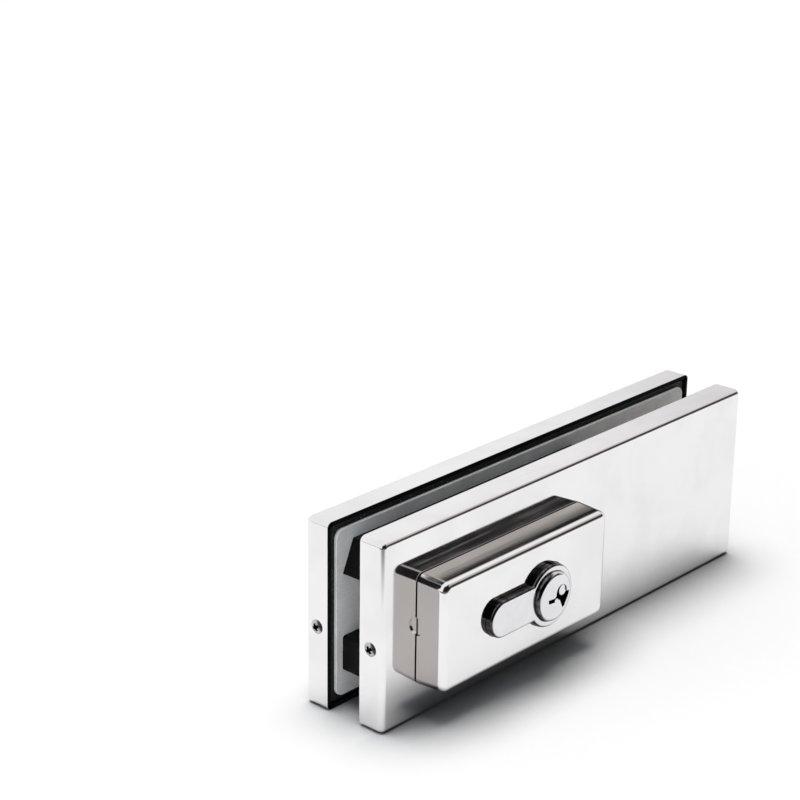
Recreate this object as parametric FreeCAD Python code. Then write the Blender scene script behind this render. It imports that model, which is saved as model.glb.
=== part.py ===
import FreeCAD, Part
import math
import os

# Glass door bottom lock: two polished trays clamp the bottom edge of a glass door between fibre
# gaskets, and a profile cylinder in a raised housing on the front drives a bolt down into the floor.
# Frame: X along the door, -Y towards the cylinder side, +Z up. The origin is midway along the lock,
# on the middle plane of the glass, level with the lock's bottom edge. All sizes are in millimetres.

# Overall plate and the door that it holds
plate_length = 150.0
plate_height = 51.0
tray_depth = 7.7
tray_wall = 1.2
tray_corner_radius = 2.3
tray_edge_radius = 1.7
glass_thickness = 10.0
rim_gap = 10.6

# Fibre gaskets and cast bodies inside the trays
gasket_thickness = 1.0
gasket_inset = 2.8
gasket_corner_radius = 2.5
gasket_hole_gap = 0.5
body_gap = 0.4
body_corner_radius = 1.0

# Raised housing round the cylinder
housing_margin = 12.0
housing_width = 65.0
housing_rise = 9.1
housing_height = 30.2
housing_depth = 8.9
housing_wall = 1.5
housing_draft_deg = 2.3
housing_corner_radius = 2.4
housing_front_radius = 1.3
housing_profile_gap = 0.15
notch_radius = 2.4
notch_depth = 1.0
boss_gap = 0.8
window_gap = 0.3
post_radius = 2.6
post_gap = 0.3
post_margin = 7.0

# Profile cylinder: a round barrel with a tail that points away from the bolt
key_from_housing = 39.6
key_drop = 0.6
barrel_radius = 8.5
profile_height = 32.2
tail_width = 10.0
cylinder_front_stand = 2.0
cylinder_back_reach = 10.0
cylinder_edge_radius = 0.5
body_profile_gap = 0.3

# Plug, its collar, keyway and cam
plug_radius = 6.75
plug_gap = 0.05
plug_stand = 1.3
plug_edge_radius = 1.25
plug_skin = 0.65
keyway_end_gap = 2.5
recess_radius = 2.4
recess_depth = 1.4
guard_pin_radius = 1.3
guard_pin_drop = 0.5

# Keyway on the plug's face, as (right, up) places from the plug's axis
heel_corners = [(-1.2, -0.3), (1.35, -0.95), (1.45, -2.35), (-1.1, -1.65)]
slit_corners = [(0.85, -1.15), (1.35, -1.25), (2.35, 0.3), (1.75, 0.65)]
blade_corners = [(1.75, 0.65), (2.95, 1.35), (6.45, 0.15), (7.0, -0.75), (6.4, -2.5), (4.85, -3.85),
                 (3.95, -3.05), (2.65, -1.05)]
recess_centre = (4.65, -0.15)
guard_pin_centre = (4.6, 0.8)

# Cam on the plug's inner end and the clip that holds the plug
cam_hub_radius = 7.5
cam_stub_radius = 5.0
cam_width = 7.4
cam_side_gap = 0.3
cam_tip_centre = 12.0
cam_tip_radius = 3.0
cam_arm_width = 5.4
cam_rest_deg = 45.0
clip_width = 0.8
clip_gap = 0.1
clip_groove_radius = 6.0
clip_outer_radius = 7.8
clip_mouth = 8.0

# Pin stacks along the tail
pin_count = 5
pin_pitch = 3.2
first_pin_depth = 3.9
pin_radius = 1.25
pin_bore_radius = 1.3
pin_bore_reach = 1.0
key_pin_inner = 3.4
driver_length = 4.0
shear_gap = 0.15
cap_length = 2.4
cap_sink = 0.3
spring_radius = 0.85
spring_wire = 0.32
spring_turns = 5.0
spring_sides = 6

# Cast case that fills the notch in the glass
case_beyond_bolt = 20.5
case_top_gap = 6.3
case_corner_radius = 1.5
lug_margin = 5.0
lug_reach = 10.0
lower_lug_rise = 7.7
lower_lug_height = 9.6
upper_lug_height = 8.5
upper_lug_slant = 3.6
lug_edge_radius = 0.8
lug_root = 1.0
cam_pocket_gap = 0.8
cam_slot_margin = 0.4

# Bolt and the strip that keeps it from dropping
bolt_left_offset = 10.0
bolt_width = 14.0
bolt_thickness = 7.4
bolt_roof = 1.7
bolt_recess = 0.7
bolt_tip_chamfer = 1.5
bolt_side_gap = 0.2
notch_gap = 0.5
notch_end_gap = 0.5
strip_thickness = 0.4
strip_width = 5.0
strip_gap = 0.1
strip_bow = 3.2
strip_back_gap = 0.2
strip_rise = 10.0
strip_top_share = 0.84

# Forend strip along the bottom
forend_width = 9.8
forend_thickness = 1.6
forend_rise = 0.3

# Fasteners: shank radius, head radius and head length of each
thread_gap = 0.02
clear_gap = 0.3
clamp_shank = 2.5
clamp_head = 4.6
clamp_head_length = 2.1
clamp_end_gap = 0.8
right_clamp_margin = 4.2
right_screw_rise = 6.9
lug_screw_margin = 6.5
lid_shank = 1.25
lid_head = 2.4
lid_head_length = 0.9
lid_screw_length = 6.0
lid_screw_left = 4.0
lid_screw_right = 9.5
lid_screw_rise = 12.1
lid_screw_drop = 4.3
lid_thickness = 1.0
forend_shank = 1.5
forend_head = 2.9
forend_head_length = 1.2
forend_screw_length = 8.0
forend_screw_margin = 5.0
fixing_shank = 2.5
fixing_head = 4.1
fixing_head_length = 1.4
fixing_from_axis = 18.5
fixing_end_gap = 1.2
housing_screw_shank = 1.5
housing_screw_head = 2.9
housing_screw_head_length = 1.4
housing_screw_end_gap = 2.0
cover_screw_shank = 1.5
cover_screw_head = 1.9
cover_screw_dome = 0.7
cover_screw_reach = 6.0
cover_screw_drop = 3.3
cover_screw_offset = 0.15
cross_width = 0.5
cross_length = 2.2
cross_depth = 0.45
cross_reach_share = 0.6

# Places worked out from the sizes above
half_length = plate_length / 2
glass_face = glass_thickness / 2
body_face = glass_face + gasket_thickness
rim_face = rim_gap / 2
outer_face = rim_face + tray_depth
tray_floor = outer_face - tray_wall
body_inset = tray_wall + body_gap
housing_left = -half_length + housing_margin
housing_right = housing_left + housing_width
housing_bottom = housing_rise
housing_top = housing_bottom + housing_height
housing_middle = (housing_bottom + housing_top) / 2
housing_front = outer_face + housing_depth
boss_inset = housing_wall + boss_gap
window_inset = boss_inset - window_gap
key_x = housing_left + key_from_housing
key_z = housing_middle - key_drop
cylinder_front = housing_front + cylinder_front_stand
plug_front = cylinder_front + plug_stand
tail_end_x = key_x + barrel_radius - profile_height
tail_centre_x = tail_end_x + tail_width / 2
fixing_x = key_x - fixing_from_axis
cam_half = cam_width / 2
cam_pocket_half = cam_half + cam_side_gap
cam_reach = cam_tip_centre + cam_tip_radius
cam_rise = cam_tip_centre * math.sin(math.radians(cam_rest_deg))
clip_front = cam_half + cam_side_gap + clip_width
barrel_slot_half = clip_front + clip_gap
forend_bottom = forend_rise
case_bottom = forend_bottom + forend_thickness
case_top = plate_height - case_top_gap
lug_left = -half_length + lug_margin
case_left = lug_left + lug_reach
lower_lug_bottom = case_bottom + lower_lug_rise
lower_lug_top = lower_lug_bottom + lower_lug_height
upper_lug_bottom = case_top - upper_lug_height
bolt_left = key_x + bolt_left_offset
bolt_right = bolt_left + bolt_width
bolt_bottom = forend_bottom + bolt_recess
bolt_top = case_top - bolt_roof
case_right = bolt_right + case_beyond_bolt
lug_screw_x = lug_left + lug_screw_margin
right_screw_x = case_right - right_clamp_margin
cover_screw_y = (outer_face + rim_face) / 2 - cover_screw_offset
cover_screw_z = plate_height / 2 - cover_screw_drop


def box(x0, x1, y0, y1, z0, z1):
    """Solid between opposite corners."""
    return Part.makeBox(x1 - x0, y1 - y0, z1 - z0, FreeCAD.Vector(x0, y0, z0))


def rod(radius, start, end):
    """Round bar between two points."""
    start = FreeCAD.Vector(*start)
    way = FreeCAD.Vector(*end) - start
    return Part.makeCylinder(radius, way.Length, start, way)


def cone(radius_start, radius_end, start, end):
    """Tapered round bar between two points."""
    start = FreeCAD.Vector(*start)
    way = FreeCAD.Vector(*end) - start
    return Part.makeCone(radius_start, radius_end, way.Length, start, way)


def rounded_wire(x0, x1, z0, z1, radius, y):
    """Rectangle with round corners, in the plane at depth y."""
    corners = [(x0, z0, 180), (x1, z0, 270), (x1, z1, 0), (x0, z1, 90)]
    edges = []
    ends = []
    for cx, cz, first in corners:
        ax = cx + (radius if cx == x0 else -radius)
        az = cz + (radius if cz == z0 else -radius)
        points = []
        for turn in (0, 45, 90):
            angle = math.radians(first + turn)
            points.append(FreeCAD.Vector(ax + radius * math.cos(angle), y, az + radius * math.sin(angle)))
        edges.append(Part.Arc(*points).toShape())
        ends.append((points[0], points[2]))
    for index, (_, last) in enumerate(ends):
        edges.append(Part.makeLine(last, ends[(index + 1) % len(ends)][0]))
    return Part.Wire(Part.__sortEdges__(edges))


def rounded_slab(x0, x1, z0, z1, y0, y1, radius):
    """Plate with round corners between two depths."""
    wire = rounded_wire(x0, x1, z0, z1, radius, y0)
    return Part.Face(wire).extrude(FreeCAD.Vector(0, y1 - y0, 0))


def plate_slab(inset, y0, y1, radius):
    """Plate with round corners, inset all round from the lock's outline."""
    reach = half_length - inset
    return rounded_slab(-reach, reach, inset, plate_height - inset, y0, y1, radius)


def prism(points, y0, y1):
    """Straight prism along Y over (x, z) points."""
    corners = [FreeCAD.Vector(x, y0, z) for x, z in points]
    face = Part.Face(Part.makePolygon(corners + corners[:1]))
    return face.extrude(FreeCAD.Vector(0, y1 - y0, 0))


def joined(*solids):
    """One solid from several that touch or overlap."""
    return solids[0].fuse(list(solids[1:])).removeSplitter()


def edges_at(solid, test):
    """Edges whose middle point passes the test."""
    found = []
    for edge in solid.Edges:
        middle = edge.valueAt((edge.FirstParameter + edge.LastParameter) / 2)
        if test(edge, middle):
            found.append(edge)
    return found


def lies_at_depth(y):
    """Test for edges that lie wholly in the plane at depth y."""
    def test(edge, middle):
        return all(abs(vertex.Point.y - y) < 1e-6 for vertex in edge.Vertexes) and abs(middle.y - y) < 1e-6
    return test


def profile(gap, y0, y1):
    """Section of the profile cylinder, grown by a gap, between two depths."""
    barrel = rod(barrel_radius + gap, (key_x, y0, key_z), (key_x, y1, key_z))
    half_tail = tail_width / 2 + gap
    tail_end = rod(half_tail, (tail_centre_x, y0, key_z), (tail_centre_x, y1, key_z))
    tail = box(tail_centre_x, key_x, y0, y1, key_z - half_tail, key_z + half_tail)
    return joined(barrel, tail_end, tail)


def countersunk(shank, head, head_length, start, end, driver=cross_width):
    """Countersunk screw from the centre of its flat head to its tip, with a cross recess."""
    a = FreeCAD.Vector(*start)
    b = FreeCAD.Vector(*end)
    way = (b - a).normalize()
    cone_end = a + way * head_length
    screw = joined(cone(head, shank, start, tuple(cone_end)), rod(shank, start, end))
    reach = head * cross_reach_share
    cutters = []
    for across in perpendiculars(way):
        bar = Part.makeBox(2 * reach, driver * 2, head_length)
        side = way.cross(across)
        turn = FreeCAD.Matrix(across.x, side.x, way.x, 0,
                              across.y, side.y, way.y, 0,
                              across.z, side.z, way.z, 0)
        placed = bar.transformGeometry(turn)
        placed.translate(a - across * reach - side * driver)
        cutters.append(placed)
    return screw.cut(cutters)


def perpendiculars(way):
    """Two directions square to an axis direction."""
    first = FreeCAD.Vector(0, 0, 1) if abs(way.z) < 0.5 else FreeCAD.Vector(1, 0, 0)
    return first, way.cross(first)


def countersunk_hole(shank, head, head_length, start, end, gap):
    """Hole for a countersunk screw: the seat fits the head and the rest is grown by a gap."""
    a = FreeCAD.Vector(*start)
    way = (FreeCAD.Vector(*end) - a).normalize()
    seat = cone(head, shank, start, tuple(a + way * head_length))
    return joined(seat, rod(shank + gap, start, end))


def clamp_places():
    """Centres (x, z) of the screws that clamp the two bodies through the case."""
    low = (lower_lug_bottom + lower_lug_top) / 2
    high = (upper_lug_bottom + case_top) / 2
    right_low = case_bottom + right_screw_rise
    return [(lug_screw_x, low), (lug_screw_x, high), (right_screw_x, right_low), (right_screw_x, high)]


def lid_places():
    """Centres (x, z) of the screws that hold the lid on the case."""
    left = case_left + lid_screw_left
    right = case_right - lid_screw_right
    low = case_bottom + lid_screw_rise
    high = case_top - lid_screw_drop
    return [(left, low), (left, high), (right, low), (right, high)]


def forend_places():
    """X places of the screws that hold the forend strip to the case."""
    return [case_left + forend_screw_margin, case_right - 2 * forend_screw_margin]


def post_places():
    """X places of the two posts inside the housing."""
    return [housing_left + post_margin, housing_right - post_margin]


def tray(side):
    """Polished tray with a rounded front edge. side is -1 for the front one and 1 for the back."""
    outer = plate_slab(0, side * outer_face, side * rim_face, tray_corner_radius)
    outer = outer.makeFillet(tray_edge_radius, edges_at(outer, lies_at_depth(side * outer_face)))
    inner = plate_slab(tray_wall, side * tray_floor, side * rim_face, tray_corner_radius - tray_wall)
    shell = outer.cut(inner)
    holes = []
    for end in (-1, 1):
        start = (end * (half_length - tray_wall - 1), side * cover_screw_y, cover_screw_z)
        finish = (end * (half_length + 1), side * cover_screw_y, cover_screw_z)
        holes.append(rod(cover_screw_shank + clear_gap / 2, start, finish))
    return shell.cut(holes)


def housing_outline(inset, y, depth_from_base, radius):
    """Outline of the drafted housing at a distance from its base."""
    slope = depth_from_base * math.tan(math.radians(housing_draft_deg)) + inset
    return rounded_wire(housing_left + slope, housing_right - slope, housing_bottom + slope,
                        housing_top - slope, radius, y)


def drafted_block(inset, base_y, top_y, radius):
    """Block with the housing's draft, inset from its sides."""
    base = housing_outline(inset, -base_y, base_y - outer_face, radius)
    top = housing_outline(inset, -top_y, top_y - outer_face, radius)
    return Part.makeLoft([base, top], True, True)


def make_front_cover():
    """Front tray with the window that the boss passes through."""
    window = box(housing_left + window_inset, housing_right - window_inset, -outer_face - 1, -tray_floor + 1,
                 housing_bottom + window_inset, housing_top - window_inset)
    return tray(-1).cut(window)


def make_back_cover():
    """Plain back tray."""
    return tray(1)


def make_cylinder_housing():
    """Drafted housing shell with a profile hole, two screw posts and a pry notch at its left foot."""
    outer = drafted_block(0, outer_face, housing_front, housing_corner_radius)
    outer = outer.makeFillet(housing_front_radius, edges_at(outer, lies_at_depth(-housing_front)))
    inner = drafted_block(housing_wall, outer_face, housing_front - housing_wall, housing_corner_radius / 2)
    shell = outer.cut(inner)
    posts = [rod(post_radius, (x, -housing_front + housing_wall, key_z), (x, -outer_face, key_z))
             for x in post_places()]
    shell = joined(shell, *posts)
    opening = profile(housing_profile_gap, -housing_front - 1, -outer_face + 1)
    notch = rod(notch_radius, (housing_left - 1, -outer_face, housing_middle),
                (housing_left + notch_depth, -outer_face, housing_middle))
    tap_radius = housing_screw_shank + thread_gap
    tap_end = -housing_front + housing_wall
    taps = [rod(tap_radius, (x, -outer_face, key_z), (x, tap_end, key_z)) for x in post_places()]
    return shell.cut([opening, notch] + taps)


def cast_body(side):
    """Cast plate inside a tray, tapped at both ends for the cover screws."""
    plate = plate_slab(body_inset, side * tray_floor, side * body_face, body_corner_radius)
    taps = []
    for end in (-1, 1):
        start = (end * (half_length - body_inset - cover_screw_reach), side * cover_screw_y, cover_screw_z)
        finish = (end * half_length, side * cover_screw_y, cover_screw_z)
        taps.append(rod(cover_screw_shank + thread_gap, start, finish))
    return plate.cut(taps)


def make_front_body():
    """Front cast body: its boss carries the cylinder and fills the housing."""
    boss_front = housing_front - housing_wall
    root = rounded_slab(housing_left + boss_inset, housing_right - boss_inset, housing_bottom + boss_inset,
                        housing_top - boss_inset, -tray_floor + 1, -outer_face, body_corner_radius)
    boss = joined(root, drafted_block(boss_inset, outer_face, boss_front, body_corner_radius))
    body = joined(cast_body(-1), boss)
    cuts = [profile(body_profile_gap, -boss_front - 1, -body_face + 1)]
    for x, z in clamp_places():
        cuts.append(rod(clamp_shank + thread_gap, (x, -body_face + 1, z), (x, -tray_floor - 1, z)))
    for x in post_places():
        cuts.append(rod(post_radius + post_gap, (x, -boss_front - 1, key_z), (x, -outer_face, key_z)))
        head_place = (x, -body_face, key_z)
        cuts.append(countersunk_hole(housing_screw_shank, housing_screw_head, housing_screw_head_length,
                                     head_place, (x, -boss_front, key_z), clear_gap))
    return body.cut(cuts)


def make_back_body():
    """Back cast body with countersunk holes and a blind pocket for the cylinder's end."""
    body = cast_body(1)
    cuts = [profile(body_profile_gap, body_face - 1, cylinder_back_reach + body_profile_gap)]
    for x, z in clamp_places():
        cuts.append(countersunk_hole(clamp_shank, clamp_head, clamp_head_length, (x, tray_floor, z),
                                     (x, body_face - 1, z), clear_gap))
    return body.cut(cuts)


def make_gasket(side):
    """Fibre gasket with holes for the cylinder and the clamp screws."""
    sheet = plate_slab(gasket_inset, side * glass_face, side * body_face, gasket_corner_radius)
    low = min(side * glass_face, side * body_face) - 1
    high = max(side * glass_face, side * body_face) + 1
    cuts = [profile(gasket_hole_gap, low, high)]
    for x, z in clamp_places():
        cuts.append(rod(clamp_shank + gasket_hole_gap, (x, low, z), (x, high, z)))
    return sheet.cut(cuts)


def make_clamp_screws():
    """Countersunk screws that draw the two bodies together."""
    screws = []
    for x, z in clamp_places():
        screws.append(countersunk(clamp_shank, clamp_head, clamp_head_length, (x, tray_floor, z),
                                  (x, -tray_floor + clamp_end_gap, z)))
    return Part.makeCompound(screws)


def case_lugs():
    """Two lugs of the case that show at the left end of the glass slot; the upper one is slanted."""
    lower = box(lug_left, case_left + lug_root, -glass_face, glass_face, lower_lug_bottom, lower_lug_top)
    lower = lower.makeFillet(lug_edge_radius, edges_at(lower, lambda edge, middle: middle.x < lug_left + 0.01
                                                       and abs(middle.y) < 0.01))
    root = case_left + lug_root
    outline = [(lug_left, upper_lug_bottom), (root, upper_lug_bottom), (root, case_top),
               (lug_left + upper_lug_slant, case_top)]
    return [lower, prism(outline, -glass_face, glass_face)]


def case_block(y0, y1):
    """Outline of the case between two depths."""
    return rounded_slab(case_left, case_right, case_bottom, case_top, y0, y1, case_corner_radius)


def bolt_channel():
    """Space that the bolt runs in, open at the bottom."""
    half = bolt_thickness / 2 + cam_side_gap
    return box(bolt_left - bolt_side_gap, bolt_right + bolt_side_gap, -half, half, case_bottom - 1,
               bolt_top + bolt_side_gap)


def make_lock_case():
    """Cast case: lugs, cam pocket, bolt channel, strip pocket and the screw holes."""
    block = joined(case_block(-glass_face + lid_thickness, glass_face), *case_lugs())
    pocket_radius = cam_reach + cam_pocket_gap
    half = cam_pocket_half
    sweep = rod(pocket_radius, (key_x, -half, key_z), (key_x, half, key_z))
    sweep = sweep.common(box(key_x, key_x + pocket_radius, -half, half, 0, plate_height))
    strip_pocket = box(bolt_right, bolt_right + bolt_side_gap + strip_bow + strip_thickness, -half, half,
                       key_z - strip_rise - 1, key_z + strip_rise + 1)
    cuts = [sweep, strip_pocket, bolt_channel(), profile(body_profile_gap, -glass_face - 1, glass_face + 1)]
    for x, z in clamp_places():
        cuts.append(rod(clamp_shank + clear_gap, (x, -glass_face - 1, z), (x, glass_face + 1, z)))
    for x, z in lid_places():
        cuts.append(rod(lid_shank + thread_gap, (x, -glass_face, z),
                        (x, -glass_face + lid_screw_length + 1, z)))
    for x in forend_places():
        tip = forend_bottom + forend_screw_length + 1
        cuts.append(rod(forend_shank + thread_gap, (x, 0, case_bottom - 1), (x, 0, tip)))
    cuts.append(rod(fixing_shank + clear_gap, (fixing_x, 0, case_bottom - 1),
                    (fixing_x, 0, key_z + tail_width)))
    return block.cut(cuts)


def make_case_lid():
    """Lid that closes the front of the case between the gaskets."""
    lid = case_block(-glass_face, -glass_face + lid_thickness)
    cuts = [profile(body_profile_gap, -glass_face - 1, 0)]
    for x, z in lid_places():
        cuts.append(countersunk_hole(lid_shank, lid_head, lid_head_length, (x, -glass_face, z), (x, 0, z),
                                     thread_gap))
    x_right = [place for place in clamp_places() if place[0] > case_left]
    for x, z in x_right:
        cuts.append(rod(clamp_shank + clear_gap, (x, -glass_face - 1, z), (x, 0, z)))
    return lid.cut(cuts + case_lugs())


def make_lid_screws():
    """Small countersunk screws that hold the lid."""
    screws = []
    for x, z in lid_places():
        screws.append(countersunk(lid_shank, lid_head, lid_head_length, (x, -glass_face, z),
                                  (x, -glass_face + lid_screw_length, z), cross_width / 2))
    return Part.makeCompound(screws)


def make_bolt():
    """Flat bolt with the notch that the cam turns in and a chamfered tip."""
    half = bolt_thickness / 2
    bar = box(bolt_left, bolt_right, -half, half, bolt_bottom, bolt_top)
    tip_edges = edges_at(bar, lambda edge, middle: abs(middle.z - bolt_bottom) < 0.01
                         and abs(middle.y) < 0.01)
    bar = bar.makeChamfer(bolt_tip_chamfer, tip_edges)
    notch_z = key_z + cam_rise
    notch_half = cam_tip_radius + notch_gap
    notch = box(bolt_left - 1, key_x + cam_reach + notch_end_gap, -half - 1, half + 1, notch_z - notch_half,
                notch_z + notch_half)
    return bar.cut(notch)


def make_drag_strip():
    """Bowed spring strip that bears on the bolt and keeps it from dropping by itself."""
    x_far = bolt_right + bolt_side_gap + strip_bow + strip_thickness - strip_back_gap
    x_near = bolt_right + strip_gap
    low = key_z - strip_rise
    high = key_z + strip_rise * strip_top_share
    middle = (low + high) / 2
    half = strip_width / 2

    def arc(shift):
        return Part.Arc(FreeCAD.Vector(x_far - strip_thickness + shift, -half, low),
                        FreeCAD.Vector(x_near + shift, -half, middle),
                        FreeCAD.Vector(x_far - strip_thickness + shift, -half, high)).toShape()

    near = arc(0)
    far = arc(strip_thickness)
    foot = Part.makeLine(near.Vertexes[0].Point, far.Vertexes[0].Point)
    head = Part.makeLine(near.Vertexes[1].Point, far.Vertexes[1].Point)
    wire = Part.Wire(Part.__sortEdges__([near, head, far, foot]))
    return Part.Face(wire).extrude(FreeCAD.Vector(0, strip_width, 0))


def make_forend():
    """Strip that closes the bottom of the case, with the bolt's hole and countersunk screw holes."""
    half = forend_width / 2
    strip = box(case_left, case_right, -half, half, forend_bottom, case_bottom)
    bolt_half = bolt_thickness / 2 + bolt_side_gap
    cuts = [box(bolt_left - bolt_side_gap, bolt_right + bolt_side_gap, -bolt_half, bolt_half,
                forend_bottom - 1, case_bottom + 1)]
    for x in forend_places():
        cuts.append(countersunk_hole(forend_shank, forend_head, forend_head_length, (x, 0, forend_bottom),
                                     (x, 0, case_bottom + 1), clear_gap))
    cuts.append(countersunk_hole(fixing_shank, fixing_head, fixing_head_length, (fixing_x, 0, forend_bottom),
                                 (fixing_x, 0, case_bottom + 1), clear_gap))
    return strip.cut(cuts)


def make_forend_screws():
    """Countersunk screws up through the forend strip."""
    screws = []
    for x in forend_places():
        screws.append(countersunk(forend_shank, forend_head, forend_head_length, (x, 0, forend_bottom),
                                  (x, 0, forend_bottom + forend_screw_length), cross_width / 2))
    return Part.makeCompound(screws)


def make_cylinder_fixing_screw():
    """Long screw from the forend into the cylinder's tail."""
    tip = key_z + tail_width / 2 - fixing_end_gap
    return countersunk(fixing_shank, fixing_head, fixing_head_length, (fixing_x, 0, forend_bottom),
                       (fixing_x, 0, tip))


def make_housing_screws():
    """Screws from behind the front body into the housing's posts."""
    screws = []
    for x in post_places():
        tip = -housing_front + housing_wall + housing_screw_end_gap
        screws.append(countersunk(housing_screw_shank, housing_screw_head, housing_screw_head_length,
                                  (x, -body_face, key_z), (x, tip, key_z), cross_width / 2))
    return Part.makeCompound(screws)


def make_cover_screws():
    """Domed screws with a cross recess, one through each end wall of each tray."""
    screws = []
    sphere_radius = (cover_screw_head ** 2 + cover_screw_dome ** 2) / (2 * cover_screw_dome)
    for side in (-1, 1):
        for end in (-1, 1):
            wall = end * half_length
            y = side * cover_screw_y
            top = wall + end * cover_screw_dome
            ball = Part.makeSphere(sphere_radius, FreeCAD.Vector(top - end * sphere_radius, y, cover_screw_z))
            head = ball.common(rod(cover_screw_head, (wall, y, cover_screw_z), (top, y, cover_screw_z)))
            tip = wall - end * cover_screw_reach
            shank = rod(cover_screw_shank, (tip, y, cover_screw_z), (wall, y, cover_screw_z))
            screw = joined(head, shank)
            floor = top - end * cross_depth
            low = min(floor, top)
            cuts = []
            for width, height in ((cross_length, cross_width), (cross_width, cross_length)):
                cuts.append(box(low, low + cross_depth, y - width / 2, y + width / 2,
                                cover_screw_z - height / 2, cover_screw_z + height / 2))
            screws.append(screw.cut(cuts))
    return Part.makeCompound(screws)


def pin_depths():
    """Depths of the pin stacks behind the cylinder's front face."""
    return [-cylinder_front + first_pin_depth + index * pin_pitch for index in range(pin_count)]


def make_cylinder_body():
    """Profile body: plug bore, cam slot, pin bores along the tail and the fixing screw's thread."""
    body = profile(0, -cylinder_front, cylinder_back_reach)
    body = body.makeFillet(cylinder_edge_radius, edges_at(body, lies_at_depth(-cylinder_front)))
    slot_right = key_x + barrel_radius + 1
    slot_left = key_x - barrel_radius - cam_slot_margin
    slot = box(slot_left, slot_right, -barrel_slot_half, barrel_slot_half, key_z - barrel_radius - 1,
               key_z + barrel_radius + 1)
    bore = rod(plug_radius + plug_gap, (key_x, -cylinder_front - 1, key_z), (key_x, 0, key_z))
    cuts = [slot, bore]
    for y in pin_depths():
        cuts.append(rod(pin_bore_radius, (tail_end_x - 1, y, key_z), (key_x - plug_radius + 1, y, key_z)))
    thread_top = key_z + tail_width / 2 + 1
    cuts.append(rod(fixing_shank + thread_gap, (fixing_x, 0, key_z - tail_width), (fixing_x, 0, thread_top)))
    return body.cut(cuts)


def on_plug(corners):
    """Corners given from the plug's axis, moved to their place on the lock."""
    return [(key_x + right, key_z + up) for right, up in corners]


def guard_pin(y0, y1):
    """Hard pin beside the keyway."""
    x, z = on_plug([guard_pin_centre])[0]
    return rod(guard_pin_radius, (x, y0, z), (x, y1, z))


def keyway(y0, y1):
    """Keyway: a turned square heel, a thin slit and a wide slanted blade space, round the guard pin."""
    space = joined(prism(on_plug(heel_corners), y0, y1), prism(on_plug(slit_corners), y0, y1),
                   prism(on_plug(blade_corners), y0, y1))
    return space.cut(guard_pin(-plug_front + guard_pin_drop, y1))


def milled_recess():
    """Shallow round recess over the blade space, down to the guard pin's flat end."""
    x, z = on_plug([recess_centre])[0]
    recess = rod(recess_radius, (x, -plug_front - 1, z), (x, -plug_front + recess_depth, z))
    return recess.cut(guard_pin(-plug_front + guard_pin_drop, 0))


def make_key_plug():
    """Plug with its proud rounded face, keyway, guard pin, pin bores, clip groove and cam stub."""
    main = rod(plug_radius, (key_x, -plug_front, key_z), (key_x, -cam_half, key_z))
    main = main.makeFillet(plug_edge_radius, edges_at(main, lies_at_depth(-plug_front)))
    stub = rod(cam_stub_radius, (key_x, -cam_half, key_z), (key_x, cam_half, key_z))
    plug = joined(main, stub)
    groove_front = -clip_front - clip_gap / 2
    groove_back = -clip_front + clip_width + clip_gap / 2
    ring_outer = rod(plug_radius + 1, (key_x, groove_front, key_z), (key_x, groove_back, key_z))
    ring_inner = rod(clip_groove_radius, (key_x, groove_front - 1, key_z), (key_x, groove_back + 1, key_z))
    skin = rod(plug_radius - plug_skin, (key_x, -plug_front - 1, key_z), (key_x, 0, key_z))
    openings = joined(milled_recess(), keyway(-plug_front - 1, -clip_front - keyway_end_gap)).common(skin)
    cuts = [ring_outer.cut(ring_inner), openings]
    for y in pin_depths():
        cuts.append(rod(pin_bore_radius, (key_x - plug_radius - 1, y, key_z),
                        (key_x - pin_bore_reach, y, key_z)))
    return plug.cut(cuts)


def make_cylinder_cam():
    """Cam: a hub pressed on the plug's stub and an arm with a round tip, turned up to the right."""
    hub = rod(cam_hub_radius, (key_x, -cam_half, key_z), (key_x, cam_half, key_z))
    tip_x = key_x + cam_tip_centre
    tip = rod(cam_tip_radius, (tip_x, -cam_half, key_z), (tip_x, cam_half, key_z))
    arm = box(key_x, tip_x, -cam_half, cam_half, key_z - cam_arm_width / 2, key_z + cam_arm_width / 2)
    cam = joined(hub, tip, arm)
    cam.rotate(FreeCAD.Vector(key_x, 0, key_z), FreeCAD.Vector(0, 1, 0), -cam_rest_deg)
    return cam.cut(rod(cam_stub_radius, (key_x, -cam_half - 1, key_z), (key_x, cam_half + 1, key_z)))


def make_plug_clip():
    """Open ring in the plug's groove that keeps it from being drawn out."""
    front = -clip_front
    back = -clip_front + clip_width
    ring = rod(clip_outer_radius, (key_x, front, key_z), (key_x, back, key_z))
    bore = rod(clip_groove_radius + thread_gap, (key_x, front - 1, key_z), (key_x, back + 1, key_z))
    mouth = box(key_x, key_x + clip_outer_radius + 1, front - 1, back + 1, key_z - clip_mouth / 2,
                key_z + clip_mouth / 2)
    return ring.cut([bore, mouth])


def stack_rods(near, far, radius):
    """Group of bars along the pin stacks, between two distances from the plug's axis."""
    start = key_x - far
    end = key_x - near
    return Part.makeCompound([rod(radius, (start, y, key_z), (end, y, key_z)) for y in pin_depths()])


def key_pin_outer():
    """Distance from the axis at which a key pin's flat end just stays inside the plug's surface."""
    return math.sqrt(plug_radius ** 2 - pin_radius ** 2) - thread_gap


def make_key_pins():
    """Pins inside the plug, which turn with it."""
    return stack_rods(key_pin_inner, key_pin_outer(), pin_radius)


def driver_start():
    """Distance from the axis at which the driver pins begin, just outside the plug."""
    return plug_radius + shear_gap


def make_driver_pins():
    """Pins in the tail that meet the key pins at the shear line."""
    return stack_rods(driver_start(), driver_start() + driver_length, pin_radius)


def cap_start():
    """Distance from the axis at which the caps begin, near the tail's round end."""
    return key_x - tail_end_x - cap_length


def make_pin_caps():
    """Caps that close the pin bores at the tail's round end."""
    return stack_rods(cap_start(), key_x - tail_end_x - cap_sink, pin_bore_radius - thread_gap)


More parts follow.
